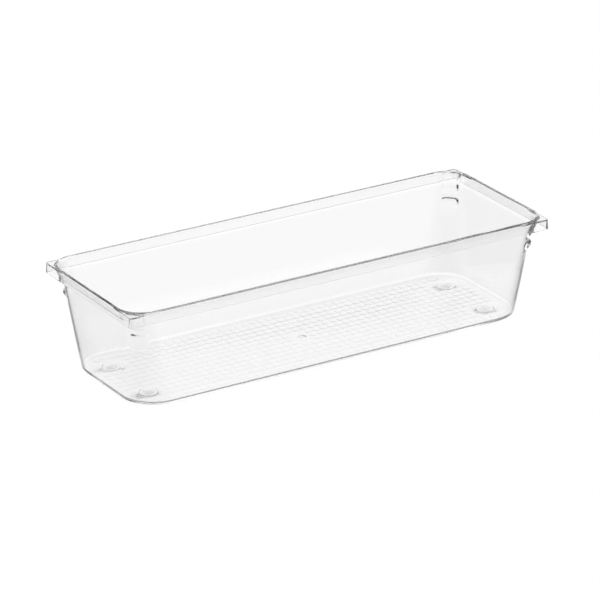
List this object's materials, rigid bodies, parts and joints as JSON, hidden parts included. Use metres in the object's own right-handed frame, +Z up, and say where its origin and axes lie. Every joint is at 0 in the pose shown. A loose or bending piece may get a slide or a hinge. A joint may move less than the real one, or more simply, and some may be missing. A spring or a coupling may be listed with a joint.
{
  "type": "drawer organizer insert",
  "caption": "Long, shallow, clear plastic tray with outward-leaning walls, a folded rim with pointed ears at its corners and small round soft feet, for sorting things in a drawer.",
  "frame": {"origin": "middle of the footprint, on the surface that the feet stand on", "axes": "+X along the length, +Y across the width, +Z up out of the opening"},
  "size_m": [0.23, 0.0836, 0.0519],
  "materials": {
    "clear_plastic": "glossy, water-clear",
    "clear_silicone": "satin, slightly cloudy"
  },
  "bodies": {
    "root": {"tray": "clear_plastic", "foot_front_left": "clear_silicone", "foot_front_right": "clear_silicone", "foot_back_left": "clear_silicone", "foot_back_right": "clear_silicone"}
  },
  "joints": []
}
